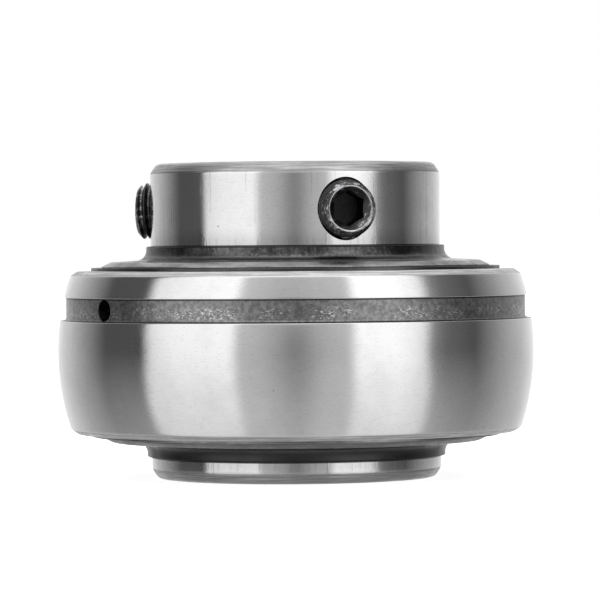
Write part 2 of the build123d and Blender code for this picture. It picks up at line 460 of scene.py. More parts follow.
def fade(tree, value, low, high, to_low=0.0, to_high=1.0):
    """Maps a value from one range to another with soft ends."""
    return add_node(
        tree, "MapRange",
        {"Value": value, "From Min": low, "From Max": high, "To Min": to_low, "To Max": to_high},
        interpolation_type="SMOOTHSTEP",
    ).outputs["Result"]


def split(tree, vector):
    """A vector's X, Y and Z."""
    return add_node(tree, "SeparateXYZ", {"Vector": vector}).outputs


def new_finish(name, metallic=1.0):
    """A new material, with its node tree and its shader."""
    material = bpy.data.materials.new(name)
    material.use_nodes = True
    tree = material.node_tree
    shader = tree.nodes["Principled BSDF"]
    shader.inputs["Metallic"].default_value = metallic
    return material, tree, shader


def wire(tree, shader, base, roughness, normal=None):
    """Gives a shader its colour, its roughness and, if there is one, its normal."""
    feed(tree, shader.inputs["Base Color"], base)
    feed(tree, shader.inputs["Roughness"], roughness)
    if normal is not None:
        feed(tree, shader.inputs["Normal"], normal)


def tone(rgb, factor=1.0):
    """A colour times a factor, with full alpha."""
    return (rgb[0] * factor, rgb[1] * factor, rgb[2] * factor, 1)


def grey(value):
    """A neutral colour with full alpha."""
    return (value, value, value, 1)


def layered(tree, base, rgb, layers):
    """Lays tones of a colour over a base: each layer has its amount and its tone's factor."""
    for amount, factor in layers:
        base = blend(tree, amount, base, tone(rgb, factor))
    return base


def band(tree, value, first, second):
    """1 between two soft edges and less outside them. Each edge says from where to where it rises."""
    return times(tree, fade(tree, value, *first), fade(tree, value, *second))


def object_place(tree):
    """The point on the piece, in metres."""
    return add_node(tree, "TexCoord").outputs["Object"]


def axis_distance(tree, place):
    """How far a point on the piece lies from the bore's axis."""
    flat = add_node(tree, "VectorMath", {0: place, 1: (1, 1, 0)}, operation="MULTIPLY").outputs[0]
    return add_node(tree, "VectorMath", {0: flat}, operation="LENGTH").outputs["Value"]


def side_height(tree, place):
    """How far a point on the piece lies above or below the sphere's centre."""
    return calc(tree, "ABSOLUTE", split(tree, place)["Z"])


def screw_distance(tree, place, screws):
    """How far a point lies from the nearer set screw's axis."""
    parts = split(tree, place)
    nearest = None
    for angle in (0, screws.side_angle):
        along_x = times(tree, parts["X"], math.cos(angle))
        sideways = plus(tree, along_x, times(tree, parts["Y"], math.sin(angle)))
        upward = minus(tree, parts["Z"], screws.height)
        offset = add_node(tree, "CombineXYZ", {"X": sideways, "Y": 0.0, "Z": upward}).outputs[0]
        away = add_node(tree, "VectorMath", {0: offset}, operation="LENGTH").outputs["Value"]
        nearest = away if nearest is None else calc(tree, "MINIMUM", nearest, away)
    return nearest


def lathe_place(tree, around, across):
    """Coordinates with one scale round the axis and another across the surface."""
    place = object_place(tree)
    parts = split(tree, place)
    step = minus(tree, axis_distance(tree, place), side_height(tree, place))
    stretched = add_node(tree, "CombineXYZ", {
        "X": times(tree, parts["X"], around),
        "Y": times(tree, parts["Y"], around),
        "Z": times(tree, step, across),
    })
    return stretched.outputs[0]


def noise(tree, vector, scale=1.0, detail=2.0, roughness=0.5):
    """A Noise node's value."""
    return add_node(
        tree, "TexNoise", {"Vector": vector, "Scale": scale, "Detail": detail, "Roughness": roughness}
    ).outputs["Fac"]


def marks(tree, around, across, detail=2.0, roughness=0.5):
    """A Noise node's value, stretched round the axis like the marks of turning and grinding."""
    return noise(tree, lathe_place(tree, around, across), detail=detail, roughness=roughness)


def pits(tree, vector, scale, reach, kept):
    """Small round pits: 1 in a pit, in a share of the cells."""
    cells = add_node(tree, "TexVoronoi", {"Vector": vector, "Scale": scale})
    spot = fade(tree, cells.outputs["Distance"], reach, reach * 0.4)
    chosen = split(tree, cells.outputs["Color"])["X"]
    return times(tree, spot, calc(tree, "LESS_THAN", chosen, kept))


def bump(tree, height, distance, normal=None):
    """A Bump node's normal."""
    inputs = {"Height": height, "Distance": distance}
    if normal is not None:
        inputs["Normal"] = normal
    return add_node(tree, "Bump", inputs).outputs["Normal"]


def ground_steel(name, rgb, roughness, stain, hub_height=0):
    """Ground steel: fine marks round the axis, dashes, faint stains and a few pits.

    Where the ring carries a flinger, it is darker and smoother towards the hub, with press marks near it
    and scratches, and a near-black line of painted shade where the hub meets it.
    """
    material, tree, shader = new_finish(name)
    place = object_place(tree)
    mark_depth = 0.0035 * MM
    fine = marks(tree, 90, 16000, detail=3)
    coarse = marks(tree, 60, 3000)
    dashes = marks(tree, 1900, 7000, detail=3, roughness=0.7)
    glints = fade(tree, marks(tree, 2200, 6000), 0.74, 0.8)
    spots = pits(tree, place, scale=900, reach=0.11, kept=0.06)
    clouds = noise(tree, place, 220, detail=5, roughness=0.65)
    base = layered(tree, tone(rgb), rgb, (
        (times(tree, fade(tree, clouds, 0.35, 0.75), stain), 0.72),
        (fade(tree, dashes, 0.52, 0.72, 0.0, 0.4), 0.7),
        (spots, 0.35),
    ))
    scuffs = times(tree, glints, fade(tree, clouds, 0.5, 0.62))
    rough = fade(tree, clouds, 0.3, 0.8, roughness * 0.9, roughness * 1.35)
    lines = plus(tree, fine, times(tree, coarse, 2.0))
    normal = bump(tree, lines, 0.0011 * MM)
    if hub_height:
        mark_depth = 0.005 * MM
        near_hub_end = hub_height + 2.1 * MM
        marks_end = hub_height + 1.2 * MM
        gap_shade_end = hub_height + 0.12 * MM
        height = side_height(tree, place)
        # Darker and smoother towards the hub.
        near_hub = fade(tree, height, near_hub_end, hub_height)
        scratches = fade(tree, marks(tree, 5200, 60), 0.6, 0.68)
        scratches = times(tree, scratches, fade(tree, clouds, 0.46, 0.54))
        press_marks = fade(tree, marks(tree, 3200, 500), 0.45, 0.65)
        press_marks = times(tree, press_marks, fade(tree, height, marks_end, marks_end - 0.8 * MM))
        # A near-black line of painted shade in the gap where the hub meets the collar.
        gap_shade = fade(tree, height, gap_shade_end, gap_shade_end - 0.06 * MM, 0.0, 0.97)
        base = layered(tree, base, rgb, (
            (times(tree, near_hub, 0.5), 0.55),
            (times(tree, press_marks, 0.2), 0.4),
            (times(tree, scratches, 0.5), 0.45),
            (gap_shade, 0.05),
        ))
        rough = times(tree, rough, minus(tree, 1.0, times(tree, near_hub, 0.5)))
        normal = bump(tree, plus(tree, scratches, press_marks), 0.002 * MM, normal)
    normal = bump(tree, plus(tree, dashes, scuffs), mark_depth, normal)
    normal = bump(tree, times(tree, spots, -1.0), 0.006 * MM, normal)
    wire(tree, shader, base, rough, normal)
    return material


def turned_steel(name, rgb, roughness):
    """A chamfer left from turning: coarser marks round the axis, light and dark."""
    material, tree, shader = new_finish(name)
    lines = marks(tree, 160, 5200, detail=3, roughness=0.65)
    patches = noise(tree, object_place(tree), 700, detail=3, roughness=0.6)
    mixed = times(tree, fade(tree, patches, 0.3, 0.7), 0.35)
    base = blend(tree, mixed, tone(rgb), tone(rgb, 0.6))
    base = blend(tree, fade(tree, lines, 0.42, 0.62), tone(rgb, 0.55), base)
    rough = fade(tree, patches, 0.3, 0.7, roughness, roughness * 1.4)
    wire(tree, shader, base, rough, bump(tree, lines, 0.004 * MM))
    return material


def scale_steel(name, rgb, bottom, top):
    """Unground steel in the groove: dark scale, speckled with bare points, and painted shade in both
    corners.
    """
    material, tree, shader = new_finish(name)
    place = object_place(tree)
    height = side_height(tree, place)
    grain = marks(tree, 3400, 7600, detail=4, roughness=0.8)
    coarse = noise(tree, place, 2400, detail=3, roughness=0.6)
    patches = noise(tree, place, 240, detail=3, roughness=0.6)
    bare = times(tree, fade(tree, grain, 0.54, 0.61), fade(tree, patches, 0.4, 0.56))
    fall = (top - 0.5 * MM, top - 1.3 * MM, 0.15)
    rise = (bottom + 0.15 * MM, bottom + 0.55 * MM, 0.1)
    bare = times(tree, bare, band(tree, height, fall, rise))
    # Painted shade in both corners of the groove, where its floor meets the walls.
    upper_corner = fade(tree, height, top - 0.2 * MM, top - 0.08 * MM)
    lower_corner = fade(tree, height, bottom + 0.16 * MM, bottom + 0.06 * MM)
    darkening = times(tree, calc(tree, "MAXIMUM", upper_corner, lower_corner), 0.9)
    base = blend(tree, fade(tree, coarse, 0.35, 0.65), tone(rgb, 0.72), tone(rgb, 1.2))
    base = layered(tree, base, rgb, ((bare, 3.6), (darkening, 0.12)))
    rough = fade(tree, patches, 0.3, 0.7, 0.26, 0.36)
    wire(tree, shader, base, rough, bump(tree, plus(tree, grain, coarse), 0.02 * MM))
    return material


def pressed_steel(name, rgb, grime, below, hub=0, top=0):
    """Pressed sheet: dull marks round the axis and oily patches, with grime on its hub if it has one.

    Its colour on the short side is the given one times the factor below: a factor under 1 paints shade
    there and one over 1 paints light. A hub is given by the radius of its outside and the height of its
    top; its grime turns to full painted shade on the short side, painted shade lies in its bend and at
    its top edge, and a painted highlight runs round the disc past the bend.
    """
    material, tree, shader = new_finish(name)
    place = object_place(tree)
    lines = marks(tree, 150, 7000, detail=3, roughness=0.65)
    patches = noise(tree, place, 420, detail=4, roughness=0.65)
    wide = marks(tree, 110, 500, detail=3)
    smears = plus(tree, times(tree, patches, 0.4), times(tree, wide, 0.6))
    dark = times(tree, fade(tree, smears, 0.4, 0.62), grime)
    # The short side, painted by the factor below: darker for the flinger as painted shade, lighter for
    # the shroud as painted light.
    under = calc(tree, "LESS_THAN", split(tree, place)["Z"], 0.0)
    dull = fade(tree, lines, 0.5, 0.68, 0.0, 0.35)
    base = layered(tree, tone(rgb), rgb, ((under, below), (dark, 0.35), (dull, 0.45)))
    if hub:
        radius = axis_distance(tree, place)
        streaks = marks(tree, 2600, 1500, detail=4, roughness=0.8)
        side = fade(tree, radius, hub + 0.5 * MM, hub + 0.1 * MM)
        mixed = plus(tree, times(tree, streaks, 0.4), times(tree, patches, 0.6))
        # Grime in streaks beside the hub, turning to full painted shade on the short side under the ring.
        darkening = calc(tree, "MAXIMUM", fade(tree, mixed, 0.44, 0.6, 1.0, 0.5), under)
        # Painted shade in the hub's bend, weaker on the short side.
        bend = band(tree, radius, (hub + 0.75 * MM, hub + 0.6 * MM), (hub + 0.2 * MM, hub + 0.35 * MM))
        bend = times(tree, bend, minus(tree, 1.0, times(tree, under, 0.6)))
        # Painted shade at the hub's top edge, where it meets the collar.
        edge = fade(tree, side_height(tree, place), top - 0.2 * MM, top - 0.1 * MM)
        # A painted highlight round the disc just past the bend.
        ridge = band(tree, radius, (hub + 1.1 * MM, hub + MM), (hub + 0.75 * MM, hub + 0.85 * MM))
        base = layered(tree, base, rgb, (
            (times(tree, side, darkening), 0.14),
            (times(tree, calc(tree, "MAXIMUM", bend, edge), 0.92), 0.08),
            (times(tree, ridge, 0.7), 1.8),
        ))
    rough = fade(tree, patches, 0.3, 0.7, 0.24, 0.42)
    wire(tree, shader, base, rough, bump(tree, lines, 0.0035 * MM))
    return material


def oxide_steel(name, rgb, screws):
    """Black oxide: a little oily, rubbed to bright specks at the head, and darkest down in the socket
    with painted shade and some oil.

    Its specks lie in short arcs round the screw, and fewer are on the crests and in the mouth.
    """
    material, tree, shader = new_finish(name)
    place = object_place(tree)
    head = screws.head_reach
    crests = (2.5 * MM, 2.65 * MM)
    mouth = (2.1 * MM, 2.0 * MM)
    radius = axis_distance(tree, place)
    away = screw_distance(tree, place, screws)
    grain = noise(tree, place, 4600, detail=3, roughness=0.75)
    patches = noise(tree, place, 800)
    ring = add_node(tree, "CombineXYZ", {"X": times(tree, away, 4.0)}).outputs[0]
    ringed = add_node(tree, "VectorMath", {0: place, 1: ring}, operation="ADD").outputs[0]
    arcs = noise(tree, ringed, 1700, detail=4, roughness=0.75)
    wear = plus(tree, times(tree, grain, 0.45), times(tree, arcs, 0.55))
    changes = (
        fade(tree, radius, head - 1.2 * MM, head, 0.0, 0.06),
        fade(tree, away, *crests, 0.0, -0.07),
        fade(tree, away, *mouth, 0.0, -0.05),
        fade(tree, patches, 0.35, 0.65, -0.08, 0.04),
    )
    for change in changes:
        wear = plus(tree, wear, change)
    # Painted shade, with some oil, down in the socket.
    socket_shade = fade(tree, radius, head - 0.5 * MM, head - 1.3 * MM)
    socket_shade = times(tree, socket_shade, fade(tree, away, 2.1 * MM, 1.9 * MM))
    base = layered(tree, tone(rgb), rgb, (
        (fade(tree, wear, 0.5, 0.57), 3.2),
        (fade(tree, wear, 0.585, 0.63), 11.0),
        (socket_shade, 0.25),
    ))
    rough = fade(tree, grain, 0.3, 0.7, 0.28, 0.44)
    wire(tree, shader, base, rough, bump(tree, grain, 0.015 * MM))
    return material


def worn_steel(name, rgb, oxide):
    """An edge where the oxide is rubbed off almost everywhere."""
    material, tree, shader = new_finish(name)
    specks = noise(tree, object_place(tree), 1800, detail=3, roughness=0.6)
    bare = fade(tree, specks, 0.34, 0.5)
    wire(tree, shader, blend(tree, bare, tone(oxide, 5.0), tone(rgb)), fade(tree, bare, 0, 1, 0.4, 0.25))
    return material


def rubber(name, rgb):
    """Matte rubber with a faint grain."""
    material, tree, shader = new_finish(name, metallic=0.0)
    grain = noise(tree, object_place(tree), 3000, detail=3, roughness=0.6)
    base = blend(tree, grain, tone(rgb, 0.8), tone(rgb, 1.4))
    wire(tree, shader, base, 0.6, bump(tree, grain, 0.01 * MM))
    return material


def sheet_steel(name, rgb, roughness):
    """Pressed or lapped steel inside the bearing, lightly clouded with oil."""
    material, tree, shader = new_finish(name)
    clouds = noise(tree, object_place(tree), 500, detail=3, roughness=0.6)
    rough = fade(tree, clouds, 0.3, 0.7, roughness * 0.8, roughness * 1.3)
    wire(tree, shader, blend(tree, clouds, tone(rgb, 0.85), tone(rgb)), rough)
    return material


class BEARING_OT_outer_ring(bpy.types.Operator):
    """Turns the spherical outer ring, with its grease groove and two grease holes"""

    bl_idname = "bearing.outer_ring"
    bl_label = "Outer Ring"
    bl_options = {"REGISTER", "UNDO"}

    def execute(self, context):
        sizes = context.scene.bearing_rings
        colours = context.scene.bearing_finish
        ball = sizes.sphere_radius
        half = sizes.half_width
        face_radius = math.sqrt(ball**2 - half**2)
        face_angle = math.degrees(math.asin(half / ball))
        chamfer_angle = face_angle - math.degrees(sizes.face_chamfer / ball)
        groove_top = sizes.groove_height + sizes.groove_width / 2
        groove_bottom = sizes.groove_height - sizes.groove_width / 2
        top_angle = math.degrees(math.asin(groove_top / ball))
        bottom_angle = math.degrees(math.asin(groove_bottom / ball))
        lip = on_circle(ball, top_angle)
        ledge = on_circle(ball, bottom_angle)
        chamfer_corner = on_circle(ball, chamfer_angle)
        floor_radius = lip[0] - sizes.groove_depth
        foot_round = sizes.groove_foot_round
        race_turn = math.degrees(
            math.acos((sizes.land_radius - sizes.outer_race_centre) / sizes.outer_race_radius)
        )
        race_centre = (sizes.outer_race_centre, 0)
        section = arc(race_centre, sizes.outer_race_radius, -race_turn, race_turn, steps=16)
        section += [
            (sizes.land_radius, sizes.seat_height),
            (sizes.seat_radius, sizes.seat_height),
            (sizes.seat_radius, half),
            (face_radius - sizes.face_chamfer, half),
        ]
        section += arc((0, 0), ball, chamfer_angle, top_angle, steps=10)
        section.append((floor_radius, groove_top))
        foot_centre = (floor_radius + foot_round, groove_bottom + foot_round)
        section += arc(foot_centre, foot_round, 180, 270, steps=6)
        section += arc((0, 0), ball, bottom_angle, -chamfer_angle, steps=44)
        section += [
            (face_radius - sizes.face_chamfer, -half),
            (sizes.seat_radius, -half),
            (sizes.seat_radius, -sizes.seat_height),
            (sizes.land_radius, -sizes.seat_height),
        ]
        ring = turn("outer_ring_ground", section, sizes.segments)
        corners = [
            (face_radius - sizes.face_chamfer, half),
            (sizes.seat_radius, half),
            chamfer_corner,
        ]
        mirrored = [(radius, -height) for radius, height in corners]
        break_rings(ring, corners + mirrored + [lip, ledge], sizes.edge_break)
        for angle in (sizes.grease_hole_angle, sizes.grease_hole_angle + math.pi):
            drill = rod("drill", sizes.grease_hole_radius, sizes.land_radius - MM, ball + MM, sides=64)
            point_outward(drill, sizes.groove_height, angle + math.pi / 2)
            combine(ring, drill, "DIFFERENCE")
        give(
            ring,
            ground_steel("ground_sphere", colours.ground, 0.11, stain=0.35),
            turned_steel("turned_ring_faces", colours.ground, roughness=0.3),
            scale_steel("groove_scale", colours.scale, groove_bottom, groove_top),
        )
        skin = ball - 0.03 * MM
        near = 0.01 * MM
        assign(ring, 1, lambda place: abs(place.z) > chamfer_corner[1] and place.length < skin)
        assign(ring, 2, lambda place: place.length < skin and place.xy.length > sizes.land_radius + MM
               and groove_bottom - near < place.z < groove_top + near)
        finish_piece(ring, "outer", ["outer_ring"])
        return {"FINISHED"}


class BEARING_OT_inner_ring(bpy.types.Operator):
    """Turns the wide inner ring and drills the two holes for its set screws"""

    bl_idname = "bearing.inner_ring"
    bl_label = "Inner Ring"
    bl_options = {"REGISTER", "UNDO"}

    def execute(self, context):
        sizes = context.scene.bearing_rings
        screws = context.scene.bearing_screws
        sheets = context.scene.bearing_sheets
        colours = context.scene.bearing_finish
        end_radius = sizes.collar_radius - sizes.end_chamfer_depth
        chamfer_radius = sizes.bore_radius + sizes.bore_chamfer
        race_turn = math.degrees(
            math.acos((sizes.inner_race_centre - sizes.collar_radius) / sizes.inner_race_radius)
        )
        race_centre = (sizes.inner_race_centre, 0)
        race = arc(race_centre, sizes.inner_race_radius, 180 - race_turn, 180 + race_turn, steps=16)
        corners = [
            race[-1],
            (sizes.collar_radius, sizes.end_chamfer_length - sizes.short_side),
            (end_radius, -sizes.short_side),
            (chamfer_radius, -sizes.short_side),
            (sizes.bore_radius, sizes.bore_chamfer - sizes.short_side),
            (sizes.bore_radius, sizes.long_side - sizes.bore_chamfer),
            (chamfer_radius, sizes.long_side),
            (end_radius, sizes.long_side),
            (sizes.collar_radius, sizes.long_side - sizes.end_chamfer_length),
            race[0],
        ]
        round_edge = sizes.end_edge_round
        soft_edge = sizes.edge_break
        bends = [round_edge, round_edge] + [soft_edge] * 4 + [round_edge, round_edge]
        ring = turn("inner_ring_ground", race + bent(corners, bends)[1:-1], sizes.segments)
        for angle in (0, screws.side_angle):
            outside = sizes.collar_radius + MM
            drill = rod("drill", screws.hole_radius, sizes.bore_radius - MM, outside, sides=128)
            sink_tip = sizes.collar_radius - screws.hole_mouth
            sink = cone("sink", screws.hole_mouth + MM, outside, sink_tip, sides=128)
            combine(drill, sink, "UNION")
            point_outward(drill, screws.height, angle)
            combine(ring, drill, "DIFFERENCE")
        give(
            ring,
            ground_steel("ground_collar", colours.ground, 0.12, stain=0.3, hub_height=sheets.hub_height),
            turned_steel("turned_ring_ends", colours.turned, roughness=0.26),
        )
        high = sizes.long_side - sizes.end_chamfer_length
        low = sizes.end_chamfer_length - sizes.short_side
        assign(ring, 1, lambda place: not low < place.z < high)
        finish_piece(ring, "inner", ["inner_ring"])
        return {"FINISHED"}


class BEARING_OT_flingers(bpy.types.Operator):
    """Presses the flinger of the long side from sheet, and mirrors it to the short side"""

    bl_idname = "bearing.flingers"
    bl_label = "Flingers"
    bl_options = {"REGISTER", "UNDO"}

    def execute(self, context):
        sizes = context.scene.bearing_sheets
        segments = context.scene.bearing_rings.segments
        colours = context.scene.bearing_finish
        rim_height = sizes.disc_height - sizes.disc_drop
        path = bent(
            [
                (sizes.hub_radius, sizes.hub_height),
                (sizes.hub_radius, sizes.disc_height),
                (sizes.rim_radius - sizes.rim_width, rim_height),
                (sizes.rim_radius, rim_height - sizes.rim_drop),
            ],
            [sizes.hub_bend, sizes.rim_bend],
            steps=10,
        )
        flinger = press("flinger_upper_pressed", path, sizes.sheet, segments)
        break_rings(flinger, [(sizes.hub_radius, sizes.hub_height)], 2 * sizes.edge_break)
        break_rings(flinger, [(sizes.rim_radius, rim_height - sizes.rim_drop)], sizes.edge_break)
        # Painted shade: the flinger's short side, under the ring, is painted at 0.55 of its colour.
        give(flinger, pressed_steel(
            "pressed_flinger", colours.pressed, grime=0.8, below=0.55,
            hub=sizes.hub_radius, top=sizes.hub_height,
        ))
        mirrored = copy_of(flinger, "flinger_lower_pressed", scale=(1, 1, -1))
        finish_piece(flinger, "inner", ["flinger_upper"])
        finish_piece(mirrored, "inner", ["flinger_lower"])
        return {"FINISHED"}


class BEARING_OT_shrouds(bpy.types.Operator):
    """Presses the seal shroud of the long side, darkened with painted shade, and mirrors it to the short
    side
    """

    bl_idname = "bearing.shrouds"
    bl_label = "Seal Shrouds"
    bl_options = {"REGISTER", "UNDO"}

    def execute(self, context):
        sizes = context.scene.bearing_sheets
        rings = context.scene.bearing_rings
        colours = context.scene.bearing_finish
        path = bent(
            [
                (sizes.shroud_radius, sizes.shroud_height),
                (sizes.shroud_radius, rings.seat_height),
                (sizes.shroud_inner_radius, rings.seat_height),
            ],
            [sizes.shroud_bend],
            steps=8,
        )
        shroud = press("seal_shroud_upper_pressed", path, sizes.sheet, rings.segments)
        rim = [
            (sizes.shroud_radius, sizes.shroud_height),
            (sizes.shroud_radius - sizes.sheet, sizes.shroud_height),
        ]
        break_rings(shroud, rim, sizes.edge_break)
        # Painted shade: the shroud's dark colour, painted three times lighter on the short side.
        give(shroud, pressed_steel("dark_shroud", colours.shroud, grime=0.5, below=3.0))
        mirrored = copy_of(shroud, "seal_shroud_lower_pressed", scale=(1, 1, -1))
        finish_piece(shroud, "outer", ["seal_shroud_upper"])
        finish_piece(mirrored, "outer", ["seal_shroud_lower"])
        return {"FINISHED"}


class BEARING_OT_set_screws(bpy.types.Operator):
    """Cuts one threaded set screw with a cup point and a hexagon socket, and copies it"""

    bl_idname = "bearing.set_screws"
    bl_label = "Set Screws"
    bl_options = {"REGISTER", "UNDO"}

    def execute(self, context):
        sizes = context.scene.bearing_screws
        colours = context.scene.bearing_finish
        screw = self.threaded_rod(sizes)
        combine(screw, self.envelope(sizes), "INTERSECT")
        spare = 0.2 * MM
        cup = cone("cup", sizes.cup_radius, sizes.tip_reach, sizes.tip_reach + sizes.cup_depth)
        combine(screw, cup, "DIFFERENCE")
        combine(screw, self.socket(sizes), "DIFFERENCE")
        mouth_tip = sizes.head_reach - sizes.mouth_radius
        mouth = cone("mouth", sizes.mouth_radius + spare, sizes.head_reach + spare, mouth_tip)
        combine(screw, mouth, "DIFFERENCE")
        give(
            screw,
            oxide_steel("black_oxide", colours.oxide, sizes),
            worn_steel("worn_oxide", colours.worn, colours.oxide),
        )
        face_edge = (sizes.radius - sizes.head_chamfer, sizes.head_reach)
        break_rings(screw, [face_edge], sizes.edge_break, slot=1)
        break_rings(screw, [(sizes.mouth_radius, sizes.head_reach)], sizes.edge_break, slot=1)
        point_outward(screw, sizes.height, 0)
        screw.name = "set_screw_front_threaded"
        screw.data.name = screw.name
        copy = copy_of(screw, "set_screw_side_threaded", angle=sizes.side_angle)
        finish_piece(screw, "set_screw_front", ["set_screw_front"])
        finish_piece(copy, "set_screw_side", ["set_screw_side"])
        return {"FINISHED"}

    def threaded_rod(self, sizes):
        """A core with a helical ridge round it, longer than the screw at both ends."""
        pitch = sizes.pitch
        core_radius = sizes.radius - sizes.thread_depth
        sunk = 0.05 * MM
        proud = 0.01 * MM
        spare_turns = 3
        turns_above_crest = 1.75
        flank_angle = math.radians(30)
        half_crest = pitch / 16
        half_foot = half_crest + (sizes.thread_depth + sunk) * math.tan(flank_angle)
        turns = math.ceil((sizes.head_reach - sizes.tip_reach) / pitch) + spare_turns
        start = sizes.head_reach - sizes.first_crest + (turns_above_crest - turns) * pitch
        deselect()
        bpy.ops.mesh.primitive_plane_add(size=2)
        ridge = name_active("set_screw")
        places = [
            (core_radius - sunk, -half_foot), (sizes.radius + proud, -half_crest),
            (core_radius - sunk, half_foot), (sizes.radius + proud, half_crest),
        ]
        for vertex, (radius, height) in zip(ridge.data.vertices, places):
            vertex.co = (radius, 0, start + height)
        bpy.ops.object.mode_set(mode="EDIT")
        bpy.ops.mesh.select_all(action="SELECT")
        bpy.ops.mesh.delete(type="ONLY_FACE")
        bpy.ops.object.mode_set(mode="OBJECT")
        apply_modifier(
            ridge, "SCREW", axis="Z", angle=math.radians(360), screw_offset=pitch, iterations=turns,
            steps=96, render_steps=96,
        )
        bpy.ops.object.mode_set(mode="EDIT")
        bpy.ops.mesh.select_all(action="DESELECT")
        bpy.ops.mesh.select_non_manifold()
        bpy.ops.mesh.fill_holes(sides=0)
        face_outward()
        core = rod("core", core_radius, start, start + turns * pitch)
        combine(ridge, core, "UNION")
        return ridge

    def envelope(self, sizes):
        """The screw's outline without its thread: a rod with both ends chamfered."""
        body = rod("envelope", sizes.radius, sizes.tip_reach, sizes.head_reach)
        break_flat(body, sizes.radius, sizes.tip_reach, sizes.radius - sizes.cup_radius)
        break_flat(body, sizes.radius, sizes.head_reach, sizes.head_chamfer)
        return body

    def socket(self, sizes):
        """The hexagon with a drilled cone at its bottom."""
        corner_radius = sizes.across_flats / math.sqrt(3)
        bottom = sizes.head_reach - sizes.socket_depth
        hexagon = rod("hexagon", corner_radius, bottom, sizes.head_reach + MM, sides=6)
        drill = cone("drill", sizes.across_flats / 2, bottom, bottom - sizes.drill_depth)
        combine(hexagon, drill, "UNION")
        return hexagon


class BEARING_OT_inside(bpy.types.Operator):
    """Finishes the balls, the cage, its rivets and the rubber lips"""

    bl_idname = "bearing.inside"
    bl_label = "Balls, Cage and Lips"
    bl_options = {"REGISTER", "UNDO"}

    def execute(self, context):
        colours = context.scene.bearing_finish
        finishes = {
            "ball": sheet_steel("lapped_ball", colours.ball, roughness=0.08),
            "cage": sheet_steel("pressed_cage", colours.cage, roughness=0.32),
            "seal_lip": rubber("lip_rubber", colours.rubber),
        }
        for name, node in frame["nodes"].items():
            for start, material in finishes.items():
                if name.startswith(start):
                    give(node, material)
        return {"FINISHED"}


